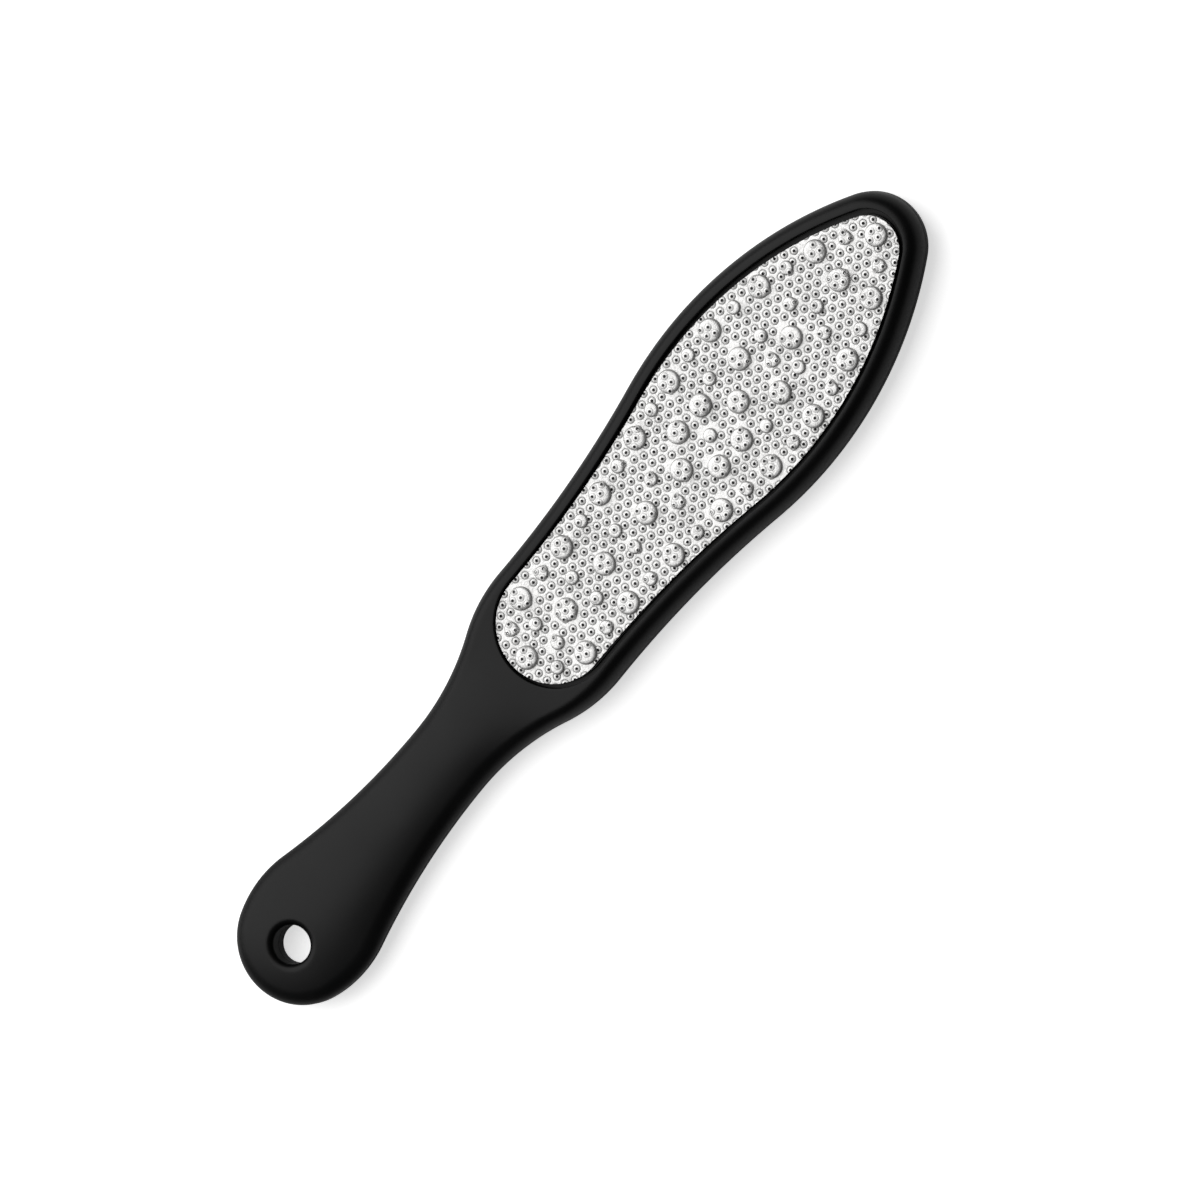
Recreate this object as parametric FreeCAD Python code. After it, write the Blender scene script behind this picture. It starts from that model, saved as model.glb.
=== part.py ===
import FreeCAD, Part
import math
import os

from FreeCAD import Vector

# A double-sided foot file in millimetres. X runs from the handle end to the tip of the head, the coarse
# side faces +Z, and the origin is under the middle of the part, on the plane that the back rests on.

# Outline: the length, how far along it from the handle end each landmark lies, and the half widths there
overall_length = 264.0
bulb_share = 0.0833
waist_share = 0.2936
shoulder_share = 0.4621
belly_share = 0.7614
bulb_half_width = 17.95
waist_half_width = 11.2
shoulder_half_width = 20.35
belly_half_width = 27.0

# Outline: radii that are chosen, the others follow from tangency
bulb_side_radius = 31.5
shoulder_radius = 43.0
flank_radius = 300.0
tip_radius = 13.8

# Handle mouldings
thickness = 12.0
edge_round = 4.6
side_wall = 3.4
pocket_floor = 1.6
rib_thickness = 1.6
bay_length = 25.0

# Hang hole
hole_from_end = 15.0
hole_radius = 5.0
hole_mouth_round = 2.0

# Tabs and slots along the seam that line the two mouldings up
tab_length = 6.0
tab_thickness = 1.2
tab_height = 1.8
tab_clearance = 0.2

# Pocket for a file plate, one in each moulding
rim_width = 4.8
pocket_depth = 1.4

# File plates and the adhesive under them
plate_gap = 0.8
plate_set_back = 0.5
plate_thickness = 0.4
coarse_film_thickness = 0.3
fine_film_thickness = 0.7
film_margin = 1.0

# Domes pressed up out of the coarse plate
large_dome_radius = 3.15
large_dome_height = 1.2
large_dome_sides = 7
small_dome_radius = 1.95
small_dome_height = 0.8
small_dome_sides = 5
edge_dome_inset = 3.85
edge_dome_pitch = 8.3

# Inner domes: distance ahead of the heel centre, distance to each side of the axis, and size
LARGE = (large_dome_radius, large_dome_height, large_dome_sides)
SMALL = (small_dome_radius, small_dome_height, small_dome_sides)
inner_domes = [
    (-3.5, 3.7, SMALL),
    (4.5, 0.0, LARGE),
    (11.9, 4.1, SMALL),
    (20.0, 0.0, LARGE),
    (28.4, 3.2, SMALL),
    (37.1, 0.0, LARGE),
    (44.6, 4.6, SMALL),
    (51.5, 0.0, LARGE),
    (58.4, 6.9, LARGE),
    (63.1, 0.0, SMALL),
    (67.5, 6.9, LARGE),
    (74.3, 9.5, SMALL),
    (74.5, 0.0, LARGE),
    (83.2, 6.8, LARGE),
    (88.4, 0.0, SMALL),
    (91.3, 6.3, SMALL),
    (96.0, 0.0, LARGE),
    (102.4, 5.8, SMALL),
    (106.4, 0.0, SMALL),
    (115.3, 0.0, LARGE),
]

# Landmarks along the axis, from the handle end, and heights above the seam
bulb_x = overall_length * bulb_share
waist_x = overall_length * waist_share
shoulder_x = overall_length * shoulder_share
belly_x = overall_length * belly_share
half_thickness = thickness / 2
pocket_z = half_thickness - pocket_depth
core_height = pocket_z - pocket_floor
plate_inset = rim_width + plate_gap


# Outline of tangent arcs. Each arc is a centre and a signed radius: positive where the outline bulges,
# negative where it is hollow. Neighbours share their outward normal where they meet, so moving the whole
# outline inwards changes only the radii.

def hollow_radius(top_x, top_y, top_radius):
    """Radius of the hollow at the waist that runs tangent into a bulge with its top at the given point."""
    run = top_x - waist_x
    rise = top_y - waist_half_width
    lift = top_radius - rise
    return (run ** 2 + lift ** 2 - top_radius ** 2) / (2 * rise)


def flank_centre(shoulder, belly):
    """Centre of the hollow flank that touches the shoulder and the belly, on the outer side of both."""
    reach_shoulder = flank_radius + shoulder[1]
    reach_belly = flank_radius + belly[1]
    across = belly[0] - shoulder[0]
    span = across.Length
    along = (span ** 2 + reach_shoulder ** 2 - reach_belly ** 2) / (2 * span)
    height = math.sqrt(reach_shoulder ** 2 - along ** 2)
    unit = across / span
    return shoulder[0] + unit * along + Vector(-unit.y, unit.x, 0) * height


def outline_arcs():
    """The +Y side of the paddle, from the handle end to the tip."""
    bulb_y = bulb_half_width - bulb_side_radius
    bulb = (Vector(bulb_x, bulb_y, 0), bulb_side_radius)
    end_radius = (bulb_side_radius ** 2 - bulb_x ** 2 - bulb_y ** 2) / (2 * (bulb_side_radius - bulb_x))
    end = (Vector(end_radius, 0, 0), end_radius)

    grip_radius = hollow_radius(bulb_x, bulb_half_width, bulb_side_radius)
    grip = (Vector(waist_x, waist_half_width + grip_radius, 0), -grip_radius)
    neck_radius = hollow_radius(shoulder_x, shoulder_half_width, shoulder_radius)
    neck = (Vector(waist_x, waist_half_width + neck_radius, 0), -neck_radius)

    shoulder = (Vector(shoulder_x, shoulder_half_width - shoulder_radius, 0), shoulder_radius)
    tip = (Vector(overall_length - tip_radius, 0, 0), tip_radius)
    reach = tip[0].x - belly_x
    belly_rise = belly_half_width - tip_radius
    belly_radius = (reach ** 2 + belly_half_width ** 2 - tip_radius ** 2) / (2 * belly_rise)
    belly = (Vector(belly_x, belly_half_width - belly_radius, 0), belly_radius)
    flank = (flank_centre(shoulder, belly), -flank_radius)
    return [end, bulb, grip, neck, shoulder, flank, belly, tip]


def head_arcs():
    """The +Y side of the head alone, closed at the heel by a round end that runs tangent into the flank."""
    flank, belly, tip = outline_arcs()[-3:]
    heel_centre = Vector(shoulder_x, 0, 0)
    heel = (heel_centre, (flank[0] - heel_centre).Length - flank_radius)
    return [heel, flank, belly, tip]


def arcs_with_normals(arcs, inset):
    """Each arc with the outward normals at its two ends, less a last arc that the inset swallows."""
    kept = list(arcs)
    end_normal = Vector(1, 0, 0)
    if kept[-1][1] <= inset:
        kept.pop()
        centre, radius = kept[-1]
        slope = -centre.y / (radius - inset)
        end_normal = Vector(math.sqrt(1 - slope ** 2), slope, 0)
    normals = [Vector(-1, 0, 0)]
    for here, ahead in zip(kept, kept[1:]):
        normals.append((here[0] - ahead[0]) / (ahead[1] - here[1]))
    normals.append(end_normal)
    return list(zip(kept, normals, normals[1:]))


def closed_wire(arcs, inset):
    """The closed outline of both sides, moved inwards by the inset."""
    upper = []
    lower = []
    for (centre, radius), first, last in arcs_with_normals(arcs, inset):
        middle = (first + last).normalize()
        points = [centre + normal * (radius - inset) for normal in (first, middle, last)]
        mirrored = [Vector(point.x, -point.y, 0) for point in reversed(points)]
        upper.append(Part.Arc(*points).toShape())
        lower.insert(0, Part.Arc(*mirrored).toShape())
    return Part.Wire(upper + lower)


def side_point(station, inset):
    """The point and outward normal of the inset +Y outline at a distance from the handle end."""
    for (centre, radius), first, last in arcs_with_normals(outline_arcs(), inset):
        reach = radius - inset
        if centre.x + last.x * reach >= station:
            lean = (station - centre.x) / reach
            normal = Vector(lean, math.sqrt(1 - lean ** 2), 0)
            return centre + normal * reach, normal
    raise ValueError("station beyond the tip")


def polygon(corners):
    """A flat face through the corners."""
    return Part.Face(Part.makePolygon(corners + corners[:1]))


def slab(arcs, inset, bottom, height):
    """A plate with the given outline and inset."""
    face = Part.Face(closed_wire(arcs, inset))
    return face.extrude(Vector(0, 0, height)).translate(Vector(0, 0, bottom))


# Handle: two copies of one moulding, seam to seam. The moulding is drawn with its seam on Z = 0.

def rounded_body():
    """Half of the paddle with its outer edge rounded."""
    plain = slab(outline_arcs(), 0, 0, half_thickness)
    upper_edges = [edge for edge in plain.Edges if edge.BoundBox.ZMin > half_thickness / 2]
    return plain.makeFillet(edge_round, upper_edges)


def hole_tool():
    """The straight bore of the hang hole, its mouth rounded off in two bevels."""
    mouth_z = half_thickness - hole_mouth_round
    mouth_radius = hole_radius + hole_mouth_round
    halfway = math.sqrt(0.5) * hole_mouth_round
    profile = polygon([
        Vector(0, 0, 0),
        Vector(hole_radius, 0, 0),
        Vector(hole_radius, 0, mouth_z),
        Vector(mouth_radius - halfway, 0, mouth_z + halfway),
        Vector(mouth_radius, 0, half_thickness),
        Vector(0, 0, half_thickness),
    ])
    return profile.revolve(Vector(0, 0, 0), Vector(0, 0, 1), 360).translate(Vector(hole_from_end, 0, 0))


def rib_stations():
    """Middles of the cross ribs: even bays from behind the hang hole to the round of the tip."""
    start = hole_from_end + hole_radius + side_wall
    end = overall_length - tip_radius
    bays = math.ceil((end - start) / bay_length)
    return [start + (end - start) * number / bays for number in range(bays + 1)]


def cores():
    """The hollows between the ribs, open at the seam, on both sides of a rib along the axis."""
    stations = rib_stations()
    hollows = []
    for here, ahead in zip(stations, stations[1:]):
        near = here + rib_thickness / 2
        far = ahead - rib_thickness / 2
        for side in (1, -1):
            corners = [
                Vector(near, side * rib_thickness / 2, 0),
                Vector(far, side * rib_thickness / 2, 0),
                Vector(far, side * side_point(far, side_wall)[0].y, 0),
                Vector(near, side * side_point(near, side_wall)[0].y, 0),
            ]
            hollows.append(polygon(corners).extrude(Vector(0, 0, core_height)))
    return hollows


def seam_blocks(side, bottom, height, clearance):
    """Blocks in the middle of one side wall, along it, at every second rib."""
    blocks = []
    length = tab_length + 2 * clearance
    width = tab_thickness + 2 * clearance
    for station in rib_stations()[1:-1:2]:
        point, normal = side_point(station, side_wall / 2)
        block = Part.makeBox(length, width, height, Vector(-length / 2, -width / 2, bottom))
        turned = block.rotate(Vector(0, 0, 0), Vector(0, 0, 1), math.degrees(-math.asin(normal.x)) * side)
        blocks.append(turned.translate(Vector(point.x, point.y * side, 0)))
    return blocks


def moulding():
    """One half of the handle: a pocket for the plate outside, cores inside, tabs on +Y and slots on -Y."""
    pocket = slab(head_arcs(), rim_width, pocket_z, pocket_depth)
    slots = seam_blocks(-1, 0, tab_height + tab_clearance, tab_clearance)
    tabs = seam_blocks(1, -tab_height, tab_height + core_height, 0)
    return rounded_body().cut([pocket, hole_tool()] + cores() + slots).fuse(tabs)


# File plates: drawn in the moulding's frame, on top of the adhesive that lies on the pocket's floor

def film(film_thickness):
    """The adhesive film under a plate."""
    shape = slab(head_arcs(), plate_inset + film_margin, pocket_z, film_thickness)
    return shape.translate(Vector(-plate_set_back, 0, 0))


def sheet(film_thickness):
    """A flat file plate, set back towards the handle in its pocket."""
    shape = slab(head_arcs(), plate_inset, pocket_z + film_thickness, plate_thickness)
    return shape.translate(Vector(-plate_set_back, 0, 0))


def dome_places():
    """Centres and sizes of the domes: a ring along the edge, large and small in turn, and the inner rows.

    An inner dome is kept where it lies within the ring and clear of the domes before it.
    """
    ring = closed_wire(head_arcs(), plate_inset + edge_dome_inset)
    count = 4 * round(ring.Length / (4 * edge_dome_pitch))
    places = []
    for number, point in enumerate(ring.discretize(Number=count + 1)[:-1]):
        places.append((point, SMALL if number % 2 else LARGE))
    inside = Part.Face(ring)
    for ahead, aside, size in inner_domes:
        for side in sorted({aside, -aside}):
            point = Vector(shoulder_x + ahead, side, 0)
            gaps = [(point - other).Length - size[0] - other_size[0] for other, other_size in places]
            if inside.isInside(point, plate_thickness, False) and min(gaps) > 0:
                places.append((point, size))
    return places


def dome(radius, height, sides):
    """A dome in flat facets: a steep tier from the sheet and a shallow one to the top, all on one ball."""
    ball_radius = (radius ** 2 + height ** 2) / (2 * height)
    tier_angle = math.asin(radius / ball_radius) / 2
    tier_radius = ball_radius * math.sin(tier_angle)
    tier_z = height - ball_radius * (1 - math.cos(tier_angle))
    top = Vector(0, 0, height)
    turns = [Vector(math.cos(a), math.sin(a), 0) for a in [2 * math.pi * n / sides for n in range(sides)]]
    foot = [turn * radius for turn in turns]
    tier = [turn * tier_radius + Vector(0, 0, tier_z) for turn in turns]
    facets = [polygon(foot)]
    for n in range(sides):
        facets.append(polygon([foot[n - 1], foot[n], tier[n], tier[n - 1]]))
        facets.append(polygon([tier[n - 1], tier[n], top]))
    return Part.Solid(Part.Shell(facets))


def coarse_plate():
    """The coarse plate with its domes standing on the sheet."""
    top_z = pocket_z + coarse_film_thickness + plate_thickness
    domes = []
    for point, (radius, height, sides) in dome_places():
        place = point + Vector(-plate_set_back, 0, top_z)
        domes.append(dome(radius, height, sides).translate(place))
    return sheet(coarse_film_thickness).fuse(domes)


# Placing: the front half stands on the seam, the back half is the same moulding turned over about X

def front(shape):
    """Move a shape from the moulding's frame to the front half."""
    return shape.translated(Vector(-overall_length / 2, 0, half_thickness))


def back(shape):
    """Turn a shape over about the axis and move it to the back half."""
    return front(shape.rotated(Vector(0, 0, 0), Vector(1, 0, 0), 180))


half_handle = moulding()
nodes = {
    "front_handle_shell": front(half_handle),
    "back_handle_shell": back(half_handle),
    "coarse_file_plate": front(coarse_plate()),
    "coarse_plate_adhesive": front(film(coarse_film_thickness)),
    "fine_file_plate": back(sheet(fine_film_thickness)),
    "fine_plate_adhesive": back(film(fine_film_thickness)),
}

os.makedirs("parts", exist_ok=True)
for name, shape in nodes.items():
    shape.exportStep("parts/" + name + ".step")
    print(name, "solids", len(shape.Solids), "valid", shape.isValid(), "volume", round(shape.Volume, 1))
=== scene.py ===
# %% [markdown]
# # A two-sided foot file
# The object is a paddle: a soft-black handle moulded in two halves, with a metal rasp plate let into each
# face of its head. The CAD model fixes the outline, the thickness and the hang hole. This lesson rebuilds
# what the eye sees finer than that: the rounded skin of the handle, and the punched teeth of the plates.
# The rim, the gap round a plate and the domes follow the photograph more closely than the CAD does.

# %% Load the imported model
import math

import bpy
import numpy as np
from mathutils import Matrix, Vector
from mathutils.geometry import delaunay_2d_cdt


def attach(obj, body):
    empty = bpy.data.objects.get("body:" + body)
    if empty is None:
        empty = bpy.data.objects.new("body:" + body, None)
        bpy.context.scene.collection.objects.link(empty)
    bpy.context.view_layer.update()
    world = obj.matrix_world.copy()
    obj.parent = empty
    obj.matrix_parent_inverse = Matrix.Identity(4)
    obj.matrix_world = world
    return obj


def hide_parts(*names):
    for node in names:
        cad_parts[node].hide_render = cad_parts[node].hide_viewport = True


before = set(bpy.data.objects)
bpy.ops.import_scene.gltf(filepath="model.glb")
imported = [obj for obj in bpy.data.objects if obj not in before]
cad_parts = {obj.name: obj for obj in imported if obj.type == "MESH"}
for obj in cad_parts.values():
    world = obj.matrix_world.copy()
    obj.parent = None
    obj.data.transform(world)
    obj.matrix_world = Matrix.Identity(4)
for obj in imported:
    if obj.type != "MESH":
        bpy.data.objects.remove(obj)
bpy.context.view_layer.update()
MM = 0.001
print("nodes:", sorted(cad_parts))

# %% [markdown]
# ## Meshes from arrays
# Most surfaces here are grids of points, each worked out as one numpy array. A grid could be handed to
# Blender as squares, but triangles make it easy to cut a grid off along a curve: the points outside move
# onto the curve, and the triangles that lose their area are thrown away. The top of the handle and its
# seam have holes in them, so they are nets instead: triangles between the loops that bound them.

# %% Grids and welding
WELD = 1e-4  # mm: points closer than this are one point
SLIVER = 1e-6  # mm2: triangles smaller than this go


def grid_triangles(rows, columns, ring=False):
    """Two triangles for each square of a grid, facing column step x row step; ring closes the rows."""
    row = np.arange(rows if ring else rows - 1)[:, None]
    column = np.arange(columns - 1)[None, :]
    here = row * columns + column
    ahead = (row + 1) % rows * columns + column
    squares = np.stack([here, here + 1, ahead + 1, ahead], axis=-1).reshape(-1, 4)
    return np.concatenate([squares[:, [0, 1, 2]], squares[:, [0, 2, 3]]])


def weld(patches):
    """Join (points, triangles, masks) patches into one: points on the same spot merge, and empty triangles
    and the points that no triangle uses go."""
    starts = np.cumsum([0] + [len(points) for points, _, _ in patches])
    points = np.concatenate([points for points, _, _ in patches])
    masks = np.concatenate([masks for _, _, masks in patches])
    triangles = np.concatenate([tris + start for (_, tris, _), start in zip(patches, starts)])
    spots = np.round(points / WELD).astype(np.int64)
    _, first, merged = np.unique(spots, axis=0, return_index=True, return_inverse=True)
    points, masks, triangles = points[first], masks[first], merged.reshape(-1)[triangles]
    corner = points[triangles]
    across = np.cross(corner[:, 1] - corner[:, 0], corner[:, 2] - corner[:, 0])
    area = np.linalg.norm(across, axis=1) / 2
    used, numbers = np.unique(triangles[area > SLIVER], return_inverse=True)
    return points[used], numbers.reshape(-1, 3), masks[used]


def plain(points, triangles):
    """A patch with both its masks, pit and painted groove shade, at zero."""
    points = points.reshape(-1, 3)
    return points, triangles, np.zeros((len(points), 2))


print("welding at", WELD, "mm")

# %% Nets between loops
INSIDE_LOOPS = 1  # kind of net: only the triangles that the loops enclose
NET_MERGE = 1e-7  # mm


def loop_edges(*counts):
    """Edges of closed loops of points in order: each point to the next, the last to the first."""
    starts = np.cumsum((0,) + counts)
    loops = [start + np.arange(count) for start, count in zip(starts, counts)]
    return np.concatenate([np.stack([loop, np.roll(loop, -1)], axis=1) for loop in loops])


def flat_net(spots, edges):
    """Triangles between flat spots, as even as they can be (Delaunay), that keep the edges and face +Z."""
    corners = [Vector(spot) for spot in spots]
    net = delaunay_2d_cdt(corners, edges.tolist(), [], INSIDE_LOOPS, NET_MERGE)
    faces, origins = net[2:4]
    triangles = np.array([origin[0] for origin in origins])[np.array(faces)]
    first, second, third = np.swapaxes(spots[triangles], 0, 1)
    ahead, aside = second - first, third - first
    turned = ahead[:, 0] * aside[:, 1] < ahead[:, 1] * aside[:, 0]
    return np.where(turned[:, None], triangles[:, ::-1], triangles)


print("edges of a loop of three:", loop_edges(3).tolist())

# %% Pieces
# pit marks the punched holes down to the black film; groove marks painted shade in the grooves and at the
# domes' feet
MASKS = ("pit", "groove")


def make_piece(name, patch, finish, node, sharp_degrees):
    """Put a welded patch (mm) into a mesh at the origin, ride it on the body, and replace its node."""
    points, triangles, masks = patch
    mesh = bpy.data.meshes.new(name)
    mesh.from_pydata((points * MM).tolist(), [], triangles.tolist())
    for number, mask in enumerate(MASKS):
        layer = mesh.attributes.new(mask, "FLOAT", "POINT")
        layer.data.foreach_set("value", masks[:, number].astype(np.float32))
    mesh.shade_smooth()
    mesh.set_sharp_from_angle(angle=math.radians(sharp_degrees))
    mesh.materials.append(finish)
    piece = bpy.data.objects.new(name, mesh)
    bpy.context.scene.collection.objects.link(piece)
    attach(piece, "root")
    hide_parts(node)
    print(name, len(points), "points", len(triangles), "triangles")


print("masks kept on each mesh:", MASKS)

# %% [markdown]
# ## The outline
# From above the file is a chain of arcs that run tangent into one another: round end, bulb, grip, neck,
# shoulder, flank, belly and tip. A curve traced by hand would wobble. With arcs, the outline moved inwards
# by any distance is exact, because only the radii change, so the rim, the pocket and the plate follow it.

# %% Arcs of the outline
LENGTH = 264.0  # mm, as are the other sizes of the outline, the handle and the plates
BULB_X, WAIST_X, SHOULDER_X, BELLY_X = (LENGTH * share for share in (0.0833, 0.2936, 0.4621, 0.7614))
BULB_Y, WAIST_Y, SHOULDER_Y, BELLY_Y = 17.95, 11.2, 20.35, 27.0  # half widths there
BULB_R, SHOULDER_R, FLANK_R, TIP_R = 31.5, 43.0, 300.0, 13.8  # radii of arcs
HALF = 6.0  # half of the thickness, seam to face
HEEL_AHEAD = 1.4  # the pocket's round heel starts this far ahead of the shoulder


def hollow_radius(top_x, top_y, top_r):
    """Radius of the hollow at the waist that runs tangent into a bulge with its top at the given point."""
    run, rise = top_x - WAIST_X, top_y - WAIST_Y
    return (run ** 2 + (top_r - rise) ** 2 - top_r ** 2) / (2 * rise)


def touching_flank(shoulder, shoulder_r, belly, belly_r):
    """Centre of the hollow flank: it lies at flank radius plus bulge radius from both bulges' centres."""
    across = belly - shoulder
    span = np.linalg.norm(across)
    near, far = FLANK_R + shoulder_r, FLANK_R + belly_r
    along = (span ** 2 + near ** 2 - far ** 2) / (2 * span)
    unit = across / span
    return shoulder + unit * along + np.array([-unit[1], unit[0]]) * math.sqrt(near ** 2 - along ** 2)


bulb_c = np.array([BULB_X, BULB_Y - BULB_R])
end_r = (BULB_R ** 2 - bulb_c @ bulb_c) / (2 * (BULB_R - BULB_X))
grip_r = hollow_radius(BULB_X, BULB_Y, BULB_R)
neck_r = hollow_radius(SHOULDER_X, SHOULDER_Y, SHOULDER_R)
shoulder_c = np.array([SHOULDER_X, SHOULDER_Y - SHOULDER_R])
tip_c = np.array([LENGTH - TIP_R, 0.0])
belly_r = ((tip_c[0] - BELLY_X) ** 2 + BELLY_Y ** 2 - TIP_R ** 2) / (2 * (BELLY_Y - TIP_R))
belly_c = np.array([BELLY_X, BELLY_Y - belly_r])
flank_c = touching_flank(shoulder_c, SHOULDER_R, belly_c, belly_r)
heel_c = np.array([SHOULDER_X + HEEL_AHEAD, 0.0])
heel_r = np.linalg.norm(flank_c - heel_c) - FLANK_R

middle = np.array([LENGTH / 2, 0.0])
PADDLE = (
    np.array([[end_r, 0], bulb_c, [WAIST_X, WAIST_Y + grip_r], [WAIST_X, WAIST_Y + neck_r],
              shoulder_c, flank_c, belly_c, tip_c]) - middle,
    np.array([end_r, BULB_R, -grip_r, -neck_r, SHOULDER_R, -FLANK_R, belly_r, TIP_R]),
)
HEAD = (np.array([heel_c, flank_c, belly_c, tip_c]) - middle, np.array([heel_r, -FLANK_R, belly_r, TIP_R]))
print("end radius", round(end_r, 2), "belly radius", round(belly_r, 2), "heel radius", round(heel_r, 2))

# %% Points along the outline
RIM_STEP, HEAD_STEP = 0.8, 0.6  # mm between points along the paddle and along the head


def shared_normals(arcs):
    """Outward normals where arcs meet: i and j share (centre i - centre j) / (radius j - radius i)."""
    centres, radii = arcs
    joints = (centres[:-1] - centres[1:]) / (radii[1:] - radii[:-1])[:, None]
    return np.concatenate([[[-1.0, 0.0]], joints, [[1.0, 0.0]]])


def side(arcs, spacing):
    """Centre, signed radius and normal at even steps along the +Y side, from the first arc to the last."""
    centres, radii = arcs
    normals = shared_normals(arcs)
    turn = np.arctan2(normals[:, 1], normals[:, 0])
    steps = np.ceil(np.abs(np.diff(turn) * radii) / spacing).astype(int) + 2
    arc = np.repeat(np.arange(len(radii)), steps)
    share = (np.arange(len(arc)) - np.repeat(np.cumsum(steps) - steps, steps)) / steps[arc]
    arc, share = np.append(arc, len(radii) - 1), np.append(share, 1.0)
    angle = turn[arc] + (turn[arc + 1] - turn[arc]) * share
    return centres[arc], radii[arc], np.stack([np.cos(angle), np.sin(angle)], axis=1)


def both_sides(path):
    """The +Y side followed by its mirror image back along -Y, as one closed loop."""
    mirror = np.array([1.0, -1.0])
    centres, radii, normals = path
    back = slice(-2, 0, -1)
    return (np.concatenate([centres, centres[back] * mirror]), np.concatenate([radii, radii[back]]),
            np.concatenate([normals, normals[back] * mirror]))


def inset(path, distance):
    """The path moved inwards: centre + (radius - distance) x normal."""
    centres, radii, normals = path
    return centres + (radii - distance)[:, None] * normals


rim_path = side(PADDLE, RIM_STEP)
head_path = side(HEAD, HEAD_STEP)
rim_loop, head_loop = both_sides(rim_path), both_sides(head_path)
print(len(rim_path[1]), "points on each side; widest", round(inset(rim_path, 0)[:, 1].max() * 2, 2), "mm")

# %% How deep a point lies inside the outline
HAIR = 1e-9  # keeps a division from zero, and lets a point on the border of two arcs belong to both


def depth_inside(arcs, distance, points):
    """How far points lie inside the inset outline, and the outward normal there. Each point belongs to the
    arc whose range of normals holds its direction from that arc's centre; the nearest such arc counts."""
    folded = np.stack([points[:, 0], np.abs(points[:, 1])], axis=1)
    ends = shared_normals(arcs)
    best = np.full(len(points), np.inf)
    normal = np.zeros_like(folded)
    for number, (centre, radius) in enumerate(zip(*arcs)):
        away = (folded - centre) * np.sign(radius)
        reach = np.linalg.norm(away, axis=1)
        towards = away / np.maximum(reach, HAIR)[:, None]
        first, last = ends[number], ends[number + 1]
        cosine = (towards @ (first + last)) / np.linalg.norm(first + last)
        half = first @ (first + last) / np.linalg.norm(first + last)
        depth = (radius - distance) - reach * np.sign(radius)
        nearer = (cosine >= half - HAIR) & (np.abs(depth) < np.abs(best))
        best = np.where(nearer, depth, best)
        normal = np.where(nearer[:, None], towards, normal)
    normal[:, 1] *= np.where(points[:, 1] < 0, -1, 1)
    return best, normal


belly_middle = np.array([[BELLY_X - LENGTH / 2, 0.0]])
print("the axis lies", round(float(depth_inside(PADDLE, 0, belly_middle)[0][0]), 2), "mm deep at the belly")

# %% [markdown]
# ## Handle material
# The handle is ABS with a soft-touch coat: nearly black, matt, with a very fine grain that spreads the
# highlight. A plain black would look like a hole in the picture. So the roughness drifts a little, as a
# handled surface does, and a fine noise gives the grain as a bump.

# %% Helpers for materials
NOISE_MIDDLE = (0.3, 0.7)  # most of a noise texture's values lie between these
MIX_INPUTS, MIX_RESULT = (0, 6, 7), 2  # sockets of a colour mix: share, first colour, second colour


def put(socket, value):
    """Feed an input: link it to another node's output, or set its number or colour."""
    if isinstance(value, bpy.types.NodeSocket):
        socket.id_data.links.new(value, socket)
    else:
        socket.default_value = value


def fill(node, **inputs):
    """Feed a node's inputs by name, with _ for a space."""
    for name, value in inputs.items():
        put(node.inputs[name.replace("_", " ")], value)


def new_finish(name):
    """A material, its Principled shader, and a function that adds a node and feeds its inputs."""
    material = bpy.data.materials.new(name)
    material.use_nodes = True
    nodes = material.node_tree.nodes

    def add(kind, settings=None, **inputs):
        node = nodes.new(kind)
        for key, value in (settings or {}).items():
            setattr(node, key, value)
        fill(node, **inputs)
        return node

    return material, nodes["Principled BSDF"], add


def grey(level):
    """A colour with the same red, green and blue."""
    return (level, level, level, 1)


def noise(add, place, scale, detail, roughness=0.5):
    """Noise with the given number of blobs to the metre."""
    node = add("ShaderNodeTexNoise", Vector=place, Scale=scale, Detail=detail, Roughness=roughness)
    return node.outputs["Fac"]


def ramp(add, value, ends, colours):
    """A colour ramp between two positions of a value."""
    node = add("ShaderNodeValToRGB", Fac=value)
    for element, position, colour in zip(node.color_ramp.elements, ends, colours):
        element.position = position
        element.color = colour
    return node.outputs["Color"]


def spread(add, value, ends, target):
    """A value taken from one range to another in proportion."""
    node = add("ShaderNodeMapRange", Value=value, From_Min=ends[0], From_Max=ends[1],
               To_Min=target[0], To_Max=target[1])
    return node.outputs["Result"]


def calculate(add, operation, *values, clamp=False):
    """One step of arithmetic on values."""
    node = add("ShaderNodeMath", {"operation": operation, "use_clamp": clamp})
    for socket, value in zip(node.inputs, values):
        put(socket, value)
    return node.outputs[0]


def mix(add, *share_and_colours):
    """The first colour where the share is 0, the second where it is 1."""
    node = add("ShaderNodeMix", {"data_type": "RGBA"})
    for number, value in zip(MIX_INPUTS, share_and_colours):
        put(node.inputs[number], value)
    return node.outputs[MIX_RESULT]


def bumps(add, height, strength, depth):
    """Normals of a surface that a height makes uneven, with the depth in metres."""
    return add("ShaderNodeBump", Strength=strength, Distance=depth, Height=height).outputs["Normal"]


print("mix sockets", MIX_INPUTS, "to", MIX_RESULT)

# %% Soft black finish
COAT_TONES = ((0.0012, 0.0012, 0.0013, 1), (0.0020, 0.0020, 0.0021, 1))
COAT_ROUGHNESS = (0.37, 0.45)
COAT_GLOSS = 0.19


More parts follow.
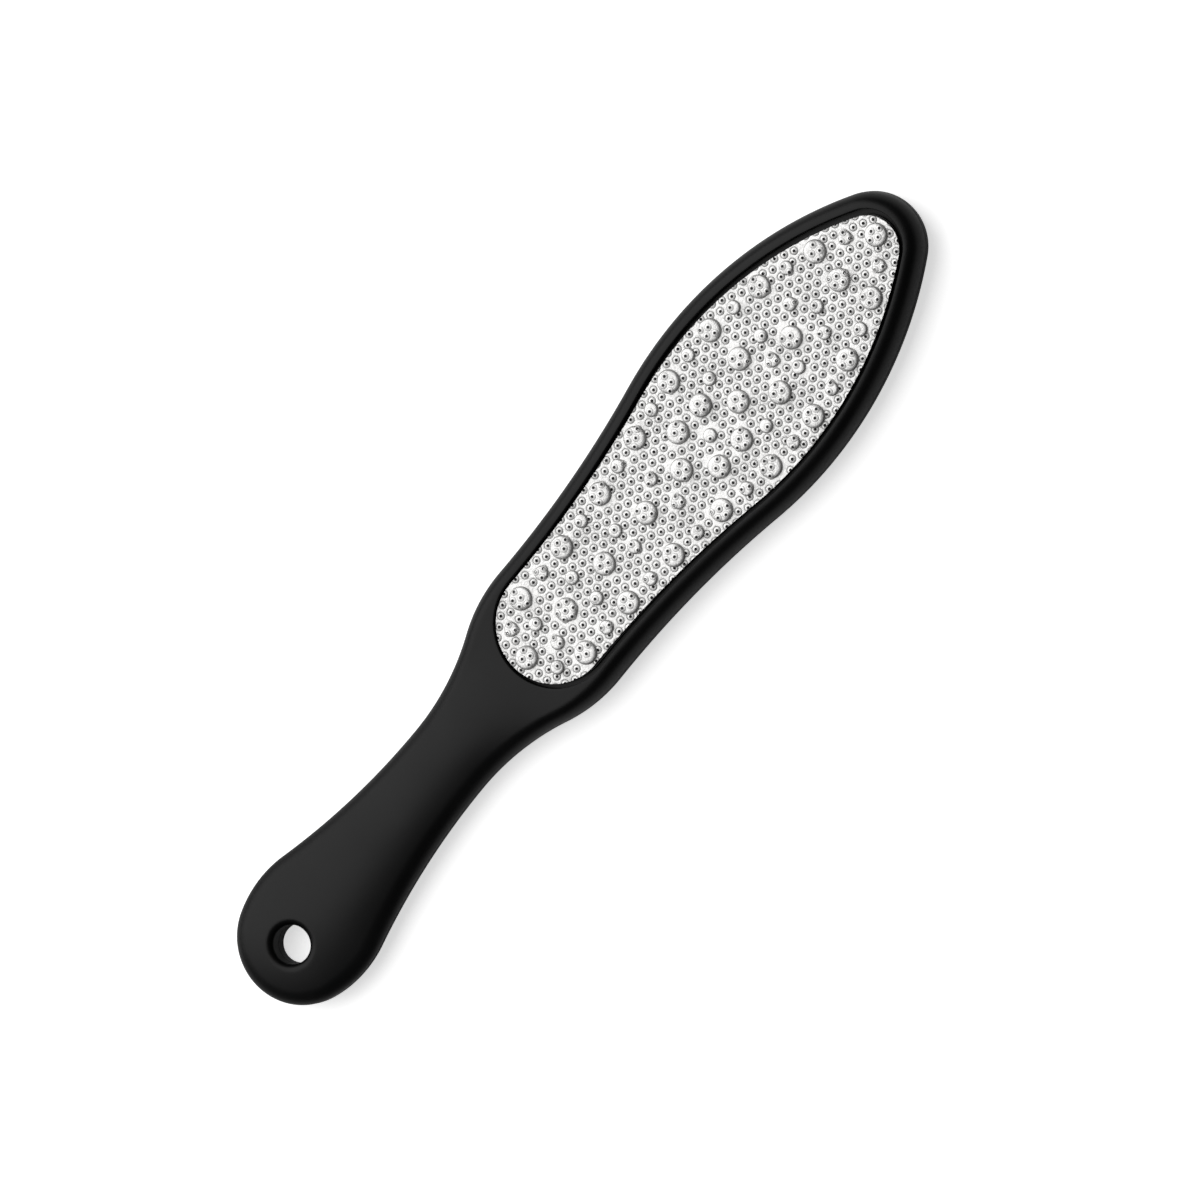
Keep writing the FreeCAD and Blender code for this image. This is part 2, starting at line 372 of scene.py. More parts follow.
def soft_black():
    """Near-black coat: drifting roughness, faint tone change, and a grain of about 0.15 mm."""
    material, shader, add = new_finish("soft_black_coat")
    place = add("ShaderNodeTexCoord").outputs["Object"]
    smudge = noise(add, place, scale=45.0, detail=4.0, roughness=0.55)
    grain = noise(add, place, scale=6500.0, detail=2.0, roughness=0.6)
    fill(shader, Base_Color=ramp(add, smudge, NOISE_MIDDLE, COAT_TONES),
         Roughness=spread(add, smudge, NOISE_MIDDLE, COAT_ROUGHNESS),
         Normal=bumps(add, grain, strength=0.12, depth=0.00003), Specular_IOR_Level=COAT_GLOSS)
    return material


handle_finish = soft_black()
print("material", handle_finish.name)

# %% [markdown]
# ## Handle skin
# Each half of the handle is one moulding. Its edge is a profile carried along the outline: a short upright
# wall with a fine chamfer at the seam, then a round that runs tangent into the top. The top is crowned along
# the grip, which is why light fades across it, and flattens out towards the head. The crown could be
# sculpted. As a formula it stays smooth, and the hole's mouth can be taken off it. In the head is the
# pocket for a plate. A groove round the pocket's floor keeps the gap beside the plate dark.

# %% Height of the top
ROUND = 3.8  # reach of the edge round
WALL_TOP = 1.0  # upright wall at the seam
CHAMFER = 0.12  # of the edges at the seam
TILT = 0.28  # slope of the crown where it meets the edge round
CROWN_ENDS = (-54.0, -18.0)  # the crown fades out between these
LEAST_WIDTH = 1.0  # keeps the crown's curvature finite where the outline closes

crown_side = inset(rim_path, ROUND)
end_centre = end_r - LENGTH / 2
bulb_x = BULB_X - LENGTH / 2


def top_height(x, y):
    """Half thickness less half of crown curvature times the squared distance from the crown's ridge."""
    width = np.interp(np.maximum(x, bulb_x), crown_side[:, 0], crown_side[:, 1])
    fade = np.clip((CROWN_ENDS[1] - x) / (CROWN_ENDS[1] - CROWN_ENDS[0]), 0, 1)
    fade = fade * fade * (3 - 2 * fade)
    ridge = y ** 2 + np.maximum(0, end_centre - x) ** 2
    return HALF - 0.5 * fade * TILT / np.maximum(width, LEAST_WIDTH) * ridge


bulb_edge = top_height(np.array([bulb_x]), np.array([BULB_Y - ROUND]))
print("crown at the bulb's side", round(float(HALF - bulb_edge[0]), 2), "mm")

# %% Edge, hole and top of one half
RIM, LIP, POCKET = 4.2, 0.25, 1.4  # rim width, round of its inner edge, depth of the pocket
HOLE_X, HOLE_R, MOUTH = 15.0 - LENGTH / 2, 5.0, 2.0  # middle and radius of the hang hole, its mouth's round
HOLE_STEPS, TOP_COLUMNS = 96, 72  # points round the hole, and across the top
NET_ROOM = 0.3  # the top's inner points keep this far from its loops
SLOPE_STEP = 0.01  # a slope is measured over this distance
ROUND_STEPS, MOUTH_STEPS, LIP_STEPS = 19, 13, 6  # points over each quarter turn


def quarter(steps):
    """Even angles over a quarter turn."""
    return np.linspace(0, np.pi / 2, steps)


def edge_patch():
    """Profile along the outline: chamfer, wall, then reach x (1 - cos) inwards and a sine rise."""
    swing = quarter(ROUND_STEPS)
    rounding = ROUND * (1 - np.cos(swing))
    reach = np.concatenate([[CHAMFER, 0.0], rounding])
    spots = np.stack([inset(rim_loop, distance) for distance in reach], axis=1)
    top = top_height(*inset(rim_loop, ROUND).T)
    slope = (top_height(*inset(rim_loop, ROUND + SLOPE_STEP).T) - top) / SLOPE_STEP
    foot = top - slope * ROUND
    rise = foot[:, None] + slope[:, None] * rounding - (1 - np.sin(swing)) * (foot - WALL_TOP)[:, None]
    low = np.broadcast_to([0.0, CHAMFER], (len(top), 2))
    points = np.dstack([spots, np.concatenate([low, rise], axis=1)])
    return plain(points, grid_triangles(*points.shape[:2], ring=True))


def hole_ring(radius):
    """Points at even angles on a circle round the hole's middle, clockwise seen from above."""
    angle = -2 * np.pi * np.arange(HOLE_STEPS) / HOLE_STEPS
    return np.stack([np.cos(angle), np.sin(angle)], axis=1) * radius + [HOLE_X, 0]


def hole_patch():
    """Rings round the hole: along the quarter circle of the mouth, then down the bore to its chamfer."""
    swing = quarter(MOUTH_STEPS)
    radius = np.concatenate([HOLE_R + MOUTH - MOUTH * np.sin(swing), [HOLE_R, HOLE_R + CHAMFER]])
    spots = np.stack([hole_ring(distance) for distance in radius], axis=1)
    z = top_height(spots[..., 0], spots[..., 1]) - MOUTH * (1 - np.cos(np.append(swing, [0, 0])))
    z[:, -2], z[:, -1] = CHAMFER, 0.0
    points = np.dstack([spots, z])
    return plain(points, grid_triangles(*points.shape[:2], ring=True))


def top_room(spots):
    """How far spots lie inside the top: from the edge round, the pocket's lip and the hole's mouth."""
    from_edge = depth_inside(PADDLE, ROUND, spots)[0]
    from_lip = -depth_inside(HEAD, RIM - LIP, spots)[0]
    from_mouth = np.hypot(spots[:, 0] - HOLE_X, spots[:, 1]) - HOLE_R - MOUTH
    return np.minimum.reduce([from_edge, from_lip, from_mouth])


def top_patch():
    """A net between the edge round, the mouth and the lip, over a grid of points; then raised."""
    loops = [inset(rim_loop, ROUND), hole_ring(HOLE_R + MOUTH), inset(head_loop, RIM - LIP)]
    across = np.linspace(1, -1, TOP_COLUMNS)[1:-1]
    x = np.repeat(crown_side[:, 0], len(across))
    grid = np.stack([x, (crown_side[:, 1:] * across).ravel()], axis=1)
    spots = np.concatenate(loops + [grid[top_room(grid) > NET_ROOM]])
    triangles = flat_net(spots, loop_edges(*[len(loop) for loop in loops]))
    triangles = triangles[top_room(spots[triangles].mean(axis=1)) > 0]
    return plain(np.column_stack([spots, top_height(*spots.T)]), triangles)


print("hang hole", 2 * HOLE_R, "mm wide, with its middle at x", HOLE_X)

# %% Pocket and seam of one half
MOAT, MOAT_DEPTH = 1.3, 2.6  # width of the groove round the pocket's floor, and its depth below the face


def pocket_patches():
    """Pocket: a small round lip and a wall along the head's outline, a groove at its foot, and a floor."""
    swing = quarter(LIP_STEPS)
    reach = np.append(RIM - LIP + LIP * np.sin(swing), [RIM, RIM + MOAT, RIM + MOAT])
    spots = np.stack([inset(head_loop, distance) for distance in reach], axis=1)
    lip = top_height(spots[:, :LIP_STEPS, 0], spots[:, :LIP_STEPS, 1]) - LIP * (1 - np.cos(swing))
    deep = np.broadcast_to(HALF - np.array([MOAT_DEPTH, MOAT_DEPTH, POCKET]), (len(lip), 3))
    points = np.dstack([spots, np.concatenate([lip, deep], axis=1)])
    wall = plain(points, grid_triangles(*points.shape[:2], ring=True))
    edge = inset(head_path, RIM + MOAT)
    z = np.full(len(edge), HALF - POCKET)
    floor = np.stack([np.column_stack([edge * [1, way], z]) for way in (1, -1)], axis=1)
    return [wall, plain(floor, grid_triangles(*floor.shape[:2]))]


def seam_patch():
    """Flat seam face: a net between the outline and the bore, facing down."""
    loops = [inset(rim_loop, CHAMFER), hole_ring(HOLE_R + CHAMFER)]
    spots = np.concatenate(loops)
    triangles = flat_net(spots, loop_edges(*[len(loop) for loop in loops]))
    triangles = triangles[(triangles < len(loops[0])).any(axis=1)]
    return plain(np.column_stack([spots, np.zeros(len(spots))]), triangles[:, ::-1])


moulding = weld([edge_patch(), top_patch(), hole_patch(), seam_patch()] + pocket_patches())
print("one moulding:", len(moulding[1]), "triangles")

# %% Front and back halves
HANDLE_SHARP = 32  # degrees: steeper edges stay sharp


def front(patch):
    """Stand a patch drawn above the seam on the front side."""
    points, triangles, masks = patch
    return points + [0, 0, HALF], triangles, masks


def back(patch):
    """Turn a patch half round the long axis, to the back side."""
    points, triangles, masks = patch
    return points * [1, -1, -1] + [0, 0, HALF], triangles, masks


make_piece("front_half", front(moulding), handle_finish, "front_handle_shell", HANDLE_SHARP)
make_piece("back_half", back(moulding), handle_finish, "back_handle_shell", HANDLE_SHARP)

# %% [markdown]
# ## Plate metal
# The plates are thin sheet, punched and then nickel plated. Nickel is a warm grey mirror, roughened here by
# a grain that is finer than the teeth. Each punched hole goes through to the black film, so the
# pits are dark. Two masks kept on the mesh, pit and groove, tell the material where the pits are, and where
# shade is painted into the grooves and round the domes' feet as a darker tone.

# %% Nickel finish
METAL_ENDS, METAL_TONES = (0.47, 0.71), ((0.50, 0.497, 0.492, 1), (0.95, 0.945, 0.936, 1))
CLOUD_SHARE = 0.4  # of the broad clouds in the metal's tone, beside the fine flecks
# the groove tone is painted shade: the dark grey that the grooves and the domes' feet are darkened to
GROOVE_SHADE_TONE, PIT_TONE = (0.13, 0.13, 0.127, 1), grey(0.006)
SHADE_BREAK_ENDS, SHADE_BREAK_SHARE = (0.42, 0.6), (0.55, 1.0)  # flecks break up the painted shade in the grooves
SMOOTHER, ROUGHER = 0.07, 0.08  # how far the grain takes the roughness either way


def nickel(name, roughness):
    """Metal with a grainy roughness; the pit mask turns it to black film, the groove mask darkens it with
    painted shade.
    """
    material, shader, add = new_finish(name)
    place = add("ShaderNodeTexCoord").outputs["Object"]
    pit, groove = (add("ShaderNodeAttribute", {"attribute_name": mask}).outputs["Fac"] for mask in MASKS)
    grain = noise(add, place, scale=2600.0, detail=3.0, roughness=0.6)
    cloud = noise(add, place, scale=160.0, detail=3.0)
    fleck = noise(add, place, scale=2200.0, detail=5.0, roughness=0.75)
    speck = calculate(add, "MULTIPLY_ADD", cloud, CLOUD_SHARE, fleck)
    bright = ramp(add, speck, METAL_ENDS, METAL_TONES)
    # painted shade in the grooves and at the domes' feet, broken up by the flecks
    groove_shading = calculate(add, "MULTIPLY", groove, spread(add, fleck, SHADE_BREAK_ENDS, SHADE_BREAK_SHARE))
    shaded_metal = mix(add, groove_shading, bright, GROOVE_SHADE_TONE)
    grainy = (roughness - SMOOTHER, roughness + ROUGHER)
    fill(shader, Base_Color=mix(add, pit, shaded_metal, PIT_TONE), Metallic=calculate(add, "SUBTRACT", 1.0, pit),
         Roughness=spread(add, grain, NOISE_MIDDLE, grainy),
         Normal=bumps(add, grain, strength=0.8, depth=0.0001))
    return material


coarse_finish = nickel("bright_nickel", roughness=0.64)
fine_finish = nickel("satin_nickel", roughness=0.6)
print("materials", coarse_finish.name, fine_finish.name)

# %% [markdown]
# ## Punched sheet
# Every tooth is a small crater: a hole in the middle, a sharp raised lip round it, and a groove at its foot.
# The craters sit in a honeycomb, so the sheet can be built of six-sided cells that share their corners.
# Thousands of separate rings laid on a flat sheet would be simpler, but then the grooves could not go down.

# %% Honeycomb
GAP, SET_BACK, SHEET = 1.1, 0.5, 0.4  # plate to pocket wall, shift towards the handle, sheet thickness
PLATE_TURN, PLATE_MIDDLE, PLATE_ASIDE = math.radians(-0.4), np.array([50.0, 0.0]), np.array([0.0, 0.15])
COARSE_PITCH, COARSE_TURN, COARSE_ORIGIN = 2.80, math.radians(2.1), np.array([54.25, -0.68])
COARSE_REACH = 70  # steps of the honeycomb each way, enough to cover the plate


def seat(spots, way=1):
    """A plate's place in its pocket: turned a hair about its middle and pushed aside; way -1 undoes it."""
    cosine, sine = math.cos(PLATE_TURN), math.sin(PLATE_TURN) * way
    turning = np.array([[cosine, sine], [-sine, cosine]])
    shift = PLATE_ASIDE * (way > 0)
    return (spots - PLATE_MIDDLE - PLATE_ASIDE * (way < 0)) @ turning + PLATE_MIDDLE + shift


def honeycomb(origin, pitch, turn, reach):
    """Centres of a honeycomb: whole steps along two directions 60 degrees apart, turned by an angle."""
    steps = np.arange(-reach, reach + 1)
    first = pitch * np.array([-np.sin(turn), np.cos(turn)])
    second = pitch * np.array([np.cos(turn + np.pi / 6), np.sin(turn + np.pi / 6)])
    return origin + (steps[:, None, None] * first + steps[None, :, None] * second).reshape(-1, 2)


def on_plate(spots, margin):
    """The spots that lie on a plate or within a margin of its edge."""
    return spots[depth_inside(HEAD, RIM + GAP, spots + [SET_BACK, 0])[0] > -margin]


lattice = honeycomb(COARSE_ORIGIN, COARSE_PITCH, COARSE_TURN, COARSE_REACH)
cells = on_plate(lattice, COARSE_PITCH)
print(len(cells), "cells, of which", len(on_plate(lattice, 0)), "have their middle on the plate")

# %% Cells
AROUND = 12  # points round a crater: six corners and six middles of the cell's sides


def directions(turn):
    """Unit steps at twelve even angles, clockwise from the turn."""
    angle = turn - 2 * np.pi * np.arange(AROUND) / AROUND
    return np.stack([np.cos(angle), np.sin(angle)], axis=-1)


def ring_cap(rings, ring):
    """Ten triangles that close a ring of twelve points: one at each corner, and four over the rest."""
    point = np.arange(AROUND) * rings + ring
    corners = np.stack([point, np.roll(point, 1), np.roll(point, -1)], axis=1)[0::2]
    middles = point[1::2]
    first = np.full(len(middles) - 2, middles[0])
    return np.concatenate([corners, np.stack([first, middles[2:], middles[1:-1]], axis=1)])


def cell_triangles(numbers, rings, crater=True):
    """Triangles of the cells with these numbers: bands from ring to ring and a cap in the smallest ring, or
    without a crater one cap over the largest."""
    if crater:
        one = np.concatenate([grid_triangles(AROUND, rings, ring=True), ring_cap(rings, rings - 1)])
    else:
        one = ring_cap(rings, 0)
    return (numbers[:, None, None] * (AROUND * rings) + one).reshape(-1, 3)


print(len(cell_triangles(np.arange(1), 2)), "triangles in a cell of two rings")

# %% Sheets
EDGE_BAND = 0.02  # points this near to the edge go no lower than the underside


def punched_sheet(cells, punched, pitch, turn, crater):
    """Face and underside of a sheet: cells from their six sides in to the hole, flat caps where not punched.
    Points past the edge move onto it, and the underside repeats the cells at the edge."""
    radii, heights, masks = crater
    rings = 1 + len(radii)
    sides = np.where(np.arange(AROUND) % 2 == 0, pitch / np.sqrt(3), pitch / 2)
    radius = np.concatenate([sides[:, None], np.broadcast_to(radii, (AROUND, len(radii)))], axis=1)
    around = radius[..., None] * directions(turn)[:, None, :]
    spots = (cells[:, None, None, :] + around).reshape(-1, 2)
    depth, normal = depth_inside(HEAD, RIM + GAP, seat(spots, -1) + [SET_BACK, 0])
    spots = spots + np.minimum(depth, 0)[:, None] * normal
    strength = np.repeat(punched.astype(float), AROUND)[:, None]
    height = (strength * np.append(0.0, heights)).ravel()
    height = np.where(depth < EDGE_BAND, np.maximum(height, -SHEET), height)
    mask = (strength[:, :, None] * np.concatenate([[[0, 0]], masks])).reshape(-1, 2)
    numbers = np.arange(len(cells))
    at_edge = (depth.reshape(len(cells), -1) < 0).any(axis=1)

    def covered(full):
        flat = cell_triangles(numbers[~full], rings, crater=False)
        triangles = np.concatenate([cell_triangles(numbers[full], rings), flat])
        return triangles[(depth[triangles] > 0).any(axis=1)]

    face = (np.column_stack([spots, height]), covered(at_edge | punched), mask)
    below = np.column_stack([spots, np.full(len(spots), -SHEET)])
    return face, plain(below, covered(at_edge)[:, ::-1])


def close_sheet(face, underside):
    """Face and underside, and a wall between them along each edge that borders one triangle of the face."""
    points, triangles, masks = weld([face])
    edges = np.concatenate([triangles[:, [0, 1]], triangles[:, [1, 2]], triangles[:, [2, 0]]])
    _, where, uses = np.unique(np.sort(edges, axis=1), axis=0, return_inverse=True, return_counts=True)
    rim = points[edges[uses[where.reshape(-1)] == 1]]
    foot = rim * [1, 1, 0] - [0, 0, SHEET]
    wall = np.stack([rim[:, 1], rim[:, 0], foot[:, 0], foot[:, 1]], axis=1)
    corner = np.arange(len(rim))[:, None] * 4
    walls = np.concatenate([corner + [0, 1, 2], corner + [0, 2, 3]])
    return [(points, triangles, masks), plain(wall, walls), underside]


print("sheet", SHEET, "mm thick")

# %% [markdown]
# ## Domes
# Round buttons are pressed up out of the coarse sheet: a ring of large and small ones along the edge, and
# more in the middle. Each is a polar grid with a steep foot and a flat top, so that its far side turns
# away from the light, and it is closed just below the sheet's face. Craters that fall on a dome ride on
# its surface.

# %% Places of the domes
EDGE_INSET, EDGE_COUNT, EDGE_STEP = 4.15, 36, 0.2  # ring of domes: inside the plate's edge, number, fineness
LEAN, ASIDE, MIDDLE_AHEAD = 0.052, 0.2, 2.2  # slip of the domes per mm to the left, aside, and ahead
LARGE, SMALL = (3.1, 0.92), (1.9, 0.74)  # radius and height
middle_large = [(4.5, 0), (20, 0), (37.1, 0), (51.5, 0), (58.4, 6.9), (67.5, 6.9), (74.5, 0), (83.2, 6.8),
                (96, 0), (115.3, 0)]
middle_small = [(-3.5, 3.7), (11.9, 4.1), (28.4, 3.2), (44.6, 4.6), (63.1, 0), (74.3, 9.5), (88.4, 0),
                (91.3, 6.3), (102.4, 5.8), (106.4, 0)]


def edge_ring():
    """Even steps along the closed line that runs one inset inside the plate's edge, from the heel."""
    loop = inset(both_sides(side(HEAD, EDGE_STEP)), RIM + GAP + EDGE_INSET)
    closed = np.concatenate([loop, loop[:1]])
    length = np.append(0, np.cumsum(np.linalg.norm(np.diff(closed, axis=0), axis=1)))
    steps = np.arange(EDGE_COUNT) * length[-1] / EDGE_COUNT
    return np.column_stack([np.interp(steps, length, closed[:, n]) for n in (0, 1)])


def middle_places(rows):
    """Domes given ahead of the shoulder and to the side, with their mirror images."""
    one = np.array(rows, float) + [SHOULDER_X + MIDDLE_AHEAD - LENGTH / 2, 0]
    return np.concatenate([one, one[one[:, 1] > 0] * [1, -1]])


def leaning(places):
    """The domes set a little askew: those to the left slip back in proportion, and all go aside a hair."""
    return places + np.column_stack([-LEAN * places[:, 1] - SET_BACK, np.full(len(places), ASIDE)])


ring_places = edge_ring()
large_places = leaning(np.concatenate([ring_places[0::2], middle_places(middle_large)]))
small_places = leaning(np.concatenate([ring_places[1::2], middle_places(middle_small)]))
print(len(large_places), "large domes", len(small_places), "small domes")

# %% Dome surfaces
SINK = 0.1  # domes and the craters on them are closed this far below the face that they stand on
FOOT, FOOT_SHADE = 0.24, 0.65  # width of the line of painted shade at a dome's foot, and how dark it is
FLATNESS, STEEPNESS = 8, 0.55  # powers in a dome's profile


def dome_height(size, distance):
    """Height times (1 - share of the radius to the flatness), to the steepness: steep foot, flat top."""
    radius, height = size
    share = np.clip(distance / radius, 0, 1)
    return height * (1 - share ** FLATNESS) ** STEEPNESS


def dome_patch(places, size, rings, steps):
    """Polar grids over all the places: the distance follows a sine, so that rings crowd at the steep foot,
    and two more rings close the dome below the sheet's face."""
    radius = size[0]
    surface = radius * np.sin(quarter(rings))[::-1]
    distance = np.append([0, radius], surface)
    rise = np.append([-SINK, -SINK], dome_height(size, surface))
    angle = -2 * np.pi * np.arange(steps) / steps
    x = places[:, 0, None, None] + np.cos(angle)[:, None] * distance
    y = places[:, 1, None, None] + np.sin(angle)[:, None] * distance
    points = np.stack([x, y, np.broadcast_to(rise, x.shape)], axis=-1).reshape(-1, 3)
    one = grid_triangles(steps, len(distance), ring=True)
    triangles = (np.arange(len(places))[:, None, None] * (steps * len(distance)) + one).reshape(-1, 3)
    # painted shade: the outer rings of each dome are darkened through the groove mask
    foot = FOOT_SHADE * np.broadcast_to(distance > radius - FOOT, x.shape).ravel()
    return points, triangles, np.column_stack([np.zeros(len(points)), foot])


print("large dome halfway out is", round(float(dome_height(LARGE, LARGE[0] / 2)), 2), "mm high")

# %% Craters on the domes
GATHER = 0.82  # pressing draws the sheet, and the craters in it, towards a dome's top
CLEAR = 0.15  # craters this near to a dome's foot are pressed flat
STEEPEST = -2.0  # the slope that a crater on a dome follows at most
DOME_MIDDLE = 1e-6  # mm: keeps a division from zero at a dome's middle


def away_from_domes(spots):
    """True where a spot lies outside every dome's foot by the clear distance."""
    gap = [np.linalg.norm(spots[:, None, :] - places[None], axis=2).min(axis=1) - size[0]
           for places, size in ((large_places, LARGE), (small_places, SMALL))]
    return np.minimum(*gap) > CLEAR


def dome_craters(places, size, crater):
    """Craters whose middle falls on a dome, gathered towards its top: rings on its surface, raised along
    its normal."""
    radii, heights, masks = crater
    away = lattice[None, :, :] - places[:, None, :]
    dome, spot = np.nonzero(np.linalg.norm(away, axis=2) < size[0])
    rings = np.array(radii)[:, None] * directions(COARSE_TURN)[:, None, :]
    offset = GATHER * away[dome, spot][:, None, None, :] + rings
    distance = np.linalg.norm(offset, axis=-1)
    further, nearer = (dome_height(size, distance + step) for step in (SLOPE_STEP, -SLOPE_STEP))
    slope = np.clip((further - nearer) / (2 * SLOPE_STEP), STEEPEST, 0.0)
    outward = offset / np.maximum(distance, DOME_MIDDLE)[..., None]
    normal = np.concatenate([-slope[..., None] * outward, np.ones_like(slope)[..., None]], axis=-1)
    normal /= np.linalg.norm(normal, axis=-1, keepdims=True)
    surface = dome_height(size, distance)[..., None]
    base = np.concatenate([places[dome][:, None, None, :] + offset, surface], axis=-1)
    points = base + normal * np.array(heights)[:, None]
    mask = np.broadcast_to(masks, (*points.shape[:3], 2)).reshape(-1, 2)
    return points.reshape(-1, 3), cell_triangles(np.arange(len(dome)), len(radii)), mask


print(int((~away_from_domes(cells)).sum()), "cells lie under or beside a dome")

# %% The coarse plate
PLATE_SHARP = 40  # degrees: steeper edges stay sharp
COARSE_FILM, FINE_FILM = 0.3, 0.7  # thickness of the film under each plate
# A crater is its rings from outside in: radii, heights, and pit and groove masks, the groove mask marking
# painted shade. The first two rings of a crater on a dome close it below.
COARSE_CRATER = ([1.17, 1.01, 0.85, 0.43, 0.31],
                 [0.0, -0.08, 0.02, 0.12, -0.36],
                 [[0, 0.1], [0, 1], [0, 0.2], [0, 0], [1, 0]])
DOME_CRATER = ([0.0, 1.0, 1.0, 0.84, 0.44, 0.32],
               [-SINK, -SINK, 0.005, 0.06, 0.13, 0.02],
               [[0, 1], [0, 1], [0, 1], [0, 0.1], [0, 0], [1, 0]])
LARGE_GRID, SMALL_GRID = (10, 40), (8, 32)  # rings and steps round of a dome


def raised(patch, film):
    """Lift a plate drawn with its face at zero onto its film in the pocket."""
    points, triangles, masks = patch
    return points + [0, 0, HALF - POCKET + film + SHEET], triangles, masks


sheet = punched_sheet(cells, away_from_domes(cells), COARSE_PITCH, COARSE_TURN, COARSE_CRATER)
patches = close_sheet(*sheet)
for places, size, grid in ((large_places, LARGE, LARGE_GRID), (small_places, SMALL, SMALL_GRID)):
    patches.append(dome_patch(places, size, *grid))
    patches.append(dome_craters(places, size, DOME_CRATER))
coarse_plate = front(raised(weld(patches), COARSE_FILM))
make_piece("coarse_plate", coarse_plate, coarse_finish, "coarse_file_plate", PLATE_SHARP)

# %% The fine plate
FINE_PITCH, FINE_TURN, FINE_ORIGIN, FINE_REACH = 1.9, math.radians(-1.2), np.array([50.0, 0.0]), 100
# the groove mask on the outer ring paints shade into the groove
FINE_CRATER = ([0.66, 0.28, 0.17], [-0.05, 0.17, -0.12], [[0, 1], [0, 0], [1, 0]])

fine_cells = on_plate(honeycomb(FINE_ORIGIN, FINE_PITCH, FINE_TURN, FINE_REACH), FINE_PITCH)
everywhere = np.ones(len(fine_cells), bool)
fine_sheet = punched_sheet(fine_cells, everywhere, FINE_PITCH, FINE_TURN, FINE_CRATER)
fine_plate = back(raised(weld(close_sheet(*fine_sheet)), FINE_FILM))
make_piece("fine_plate", fine_plate, fine_finish, "fine_file_plate", PLATE_SHARP)

# %% [markdown]
# ## Adhesive film
# Each plate is held by a black foam film. It shows only as a dark line under the plate's edge, so the CAD
# solid is fine enough and only gets a finish: dull rubber with the pores of a foam.

# %% Foam finish on the CAD films
FOAM_ENDS, FOAM_TONES = (0.1, 0.6), (grey(0.006), grey(0.018))
FOAM_ROUGHNESS, FOAM_GLOSS = 0.85, 0.1


def foam_film():
    """Dull black rubber with small pores, from cells of noise."""
    material, shader, add = new_finish("black_foam_film")
    place = add("ShaderNodeTexCoord").outputs["Object"]
    pores = add("ShaderNodeTexVoronoi", Vector=place, Scale=5000.0).outputs["Distance"]
    fill(shader, Base_Color=ramp(add, pores, FOAM_ENDS, FOAM_TONES),
         Normal=bumps(add, pores, strength=0.4, depth=0.00005),
         Roughness=FOAM_ROUGHNESS, Specular_IOR_Level=FOAM_GLOSS)
    return material


film_finish = foam_film()
for node in ("coarse_plate_adhesive", "fine_plate_adhesive"):
    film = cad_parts[node].data
    film.materials.clear()
    film.materials.append(film_finish)
print("film finish on both adhesive nodes")

# %% [markdown]
# ## Floor, light and camera
# The photograph is a product shot: white ground, one large soft light from the upper left, a faint shadow
# to the lower right. The camera looks down from far off, a little to the right of upright.

# %% White floor
FLOOR, FLOOR_DROP = 14.0, 0.0002  # m: from the middle to each side, and how far below the object
FLOOR_TONE, FLOOR_ROUGHNESS = grey(0.92), 0.9
FLOOR_GLOW, MIRRORED_GLOW = 0.64, 0.03  # what the camera sees added to the lit floor, and what mirrors see

corners = [(x * FLOOR, y * FLOOR, -FLOOR_DROP) for x, y in ((-1, -1), (1, -1), (1, 1), (-1, 1))]
floor_mesh = bpy.data.meshes.new("floor")
floor_mesh.from_pydata(corners, [], [(0, 1, 2, 3)])
floor = bpy.data.objects.new("floor", floor_mesh)
bpy.context.scene.collection.objects.link(floor)


def white_ground():
    """White that takes the shadow, with a glow added where the camera or a mirror looks at it."""
    material, shader, add = new_finish("white_ground")
    fill(shader, Base_Color=FLOOR_TONE, Roughness=FLOOR_ROUGHNESS, Specular_IOR_Level=0.0)
    rays = add("ShaderNodeLightPath").outputs
    shiny = calculate(add, "ADD", rays["Is Glossy Ray"], rays["Is Transmission Ray"], clamp=True)
    mirrored = calculate(add, "MULTIPLY", shiny, MIRRORED_GLOW)
    strength = calculate(add, "MULTIPLY_ADD", rays["Is Camera Ray"], FLOOR_GLOW, mirrored)
    glow = add("ShaderNodeEmission", Color=grey(1), Strength=strength)
    both = add("ShaderNodeAddShader")
    put(both.inputs[0], shader.outputs[0])
    put(both.inputs[1], glow.outputs[0])
    put(material.node_tree.nodes["Material Output"].inputs["Surface"], both.outputs[0])
    return material


floor_mesh.materials.append(white_ground())
print("floor", 2 * FLOOR, "m across")

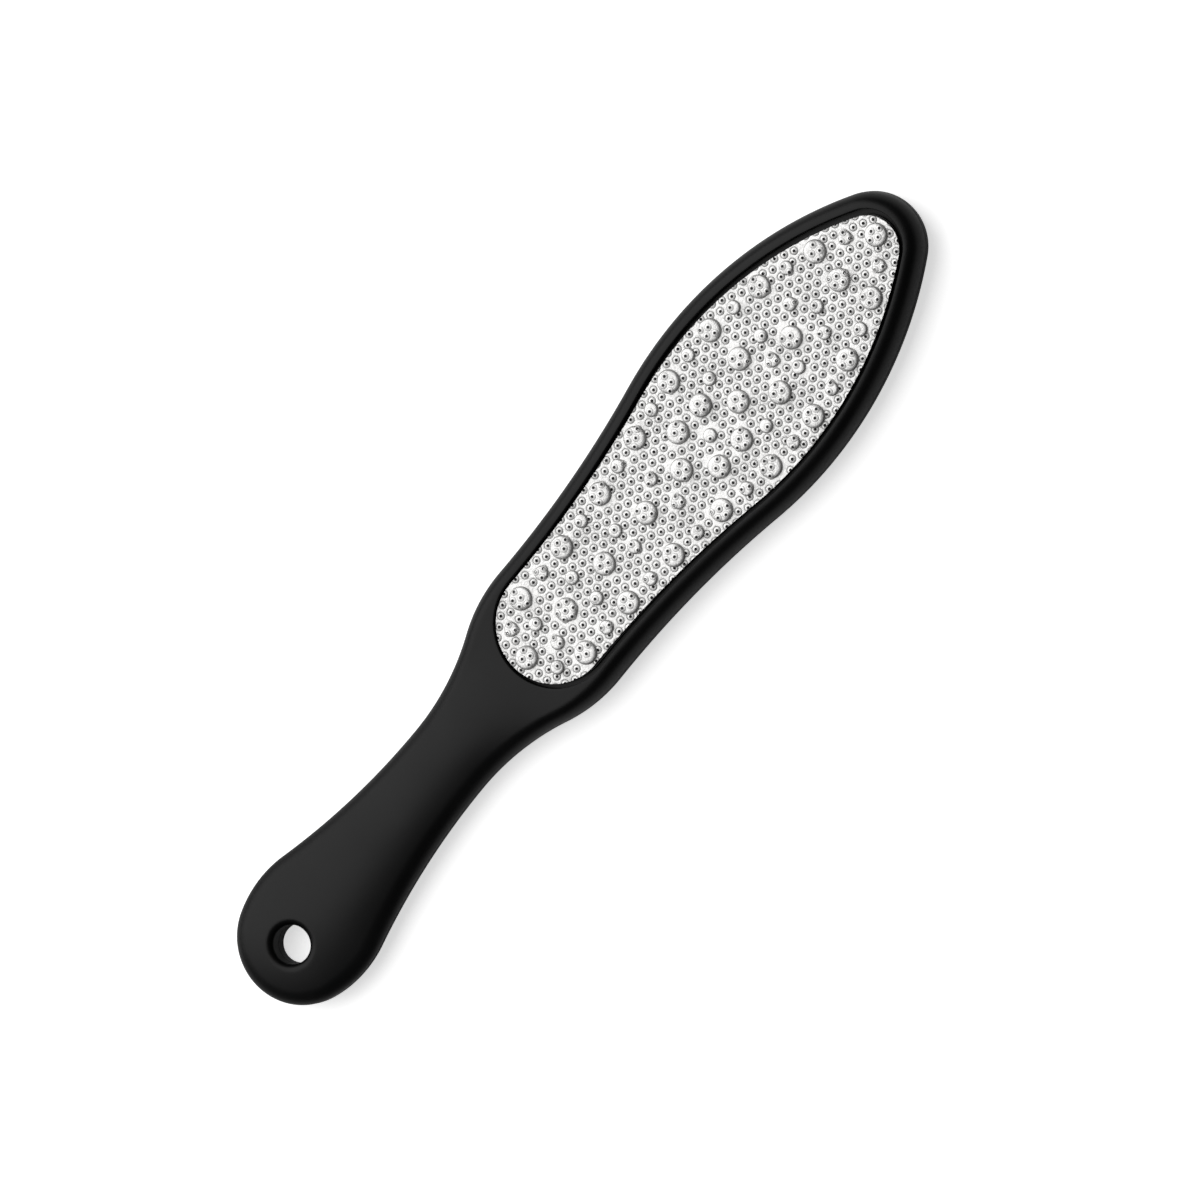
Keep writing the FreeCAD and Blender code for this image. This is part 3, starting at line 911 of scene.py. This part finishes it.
# %% Camera
FRAME_PX, PX_PER_MM, LENS, SENSOR = 1200, 3.974, 1000.0, 36.0
LEAN_RIGHT, LEAN_UP, ROLL = 0.335, 0.065, 0.0177  # slopes of the view from upright, and its turn in radians
AIM = Vector((2.568, -3.739, 6.0)) * MM  # the point in the middle of the picture
CLIP_END = 100.0  # m

image_right = Vector((0.6366, -0.7712, 0.0))  # how the picture's directions lie on the floor
image_up = Vector((0.7712, 0.6366, 0.0))
towards = (image_right * LEAN_RIGHT + image_up * LEAN_UP + Vector((0, 0, 1))).normalized()
up = (image_up - towards * image_up.dot(towards)).normalized()
up.rotate(Matrix.Rotation(ROLL, 3, towards))
right = up.cross(towards)
camera_data = bpy.data.cameras.new("camera")
camera_data.lens = LENS
camera_data.sensor_width = SENSOR
camera_data.clip_end = CLIP_END
camera = bpy.data.objects.new("camera", camera_data)
bpy.context.scene.collection.objects.link(camera)
distance = FRAME_PX * LENS / (SENSOR * PX_PER_MM) * MM
turn = Matrix((right, up, towards)).transposed().to_4x4()
camera.matrix_world = Matrix.Translation(AIM + towards * distance) @ turn
bpy.context.scene.camera = camera
print("camera stands", round(distance, 2), "m away")

# %% Soft light
SOFTBOX, SOFTBOX_AWAY, SOFTBOX_WATTS = 1.9, 1.25, 24.5  # side and distance in m, and power
LIGHT_LEFT, LIGHT_UP = 0.74, 0.30  # slopes of the light from upright
WORLD_GLOW = 0.05

softbox_data = bpy.data.lights.new("softbox", "AREA")
softbox_data.shape = "RECTANGLE"
softbox_data.size = SOFTBOX
softbox_data.size_y = SOFTBOX
softbox_data.energy = SOFTBOX_WATTS
softbox = bpy.data.objects.new("softbox", softbox_data)
bpy.context.scene.collection.objects.link(softbox)
light_from = (image_right * -LIGHT_LEFT + image_up * LIGHT_UP + Vector((0, 0, 1.0))).normalized()
softbox.location = light_from * SOFTBOX_AWAY
softbox.rotation_mode = "QUATERNION"
softbox.rotation_quaternion = light_from.to_track_quat("Z", "Y")

world = bpy.data.worlds.new("studio")
bpy.context.scene.world = world
world.use_nodes = True
fill(world.node_tree.nodes["Background"], Color=grey(1), Strength=WORLD_GLOW)
bpy.context.scene.view_settings.view_transform = "Standard"
print("softbox", softbox_data.energy, "W")
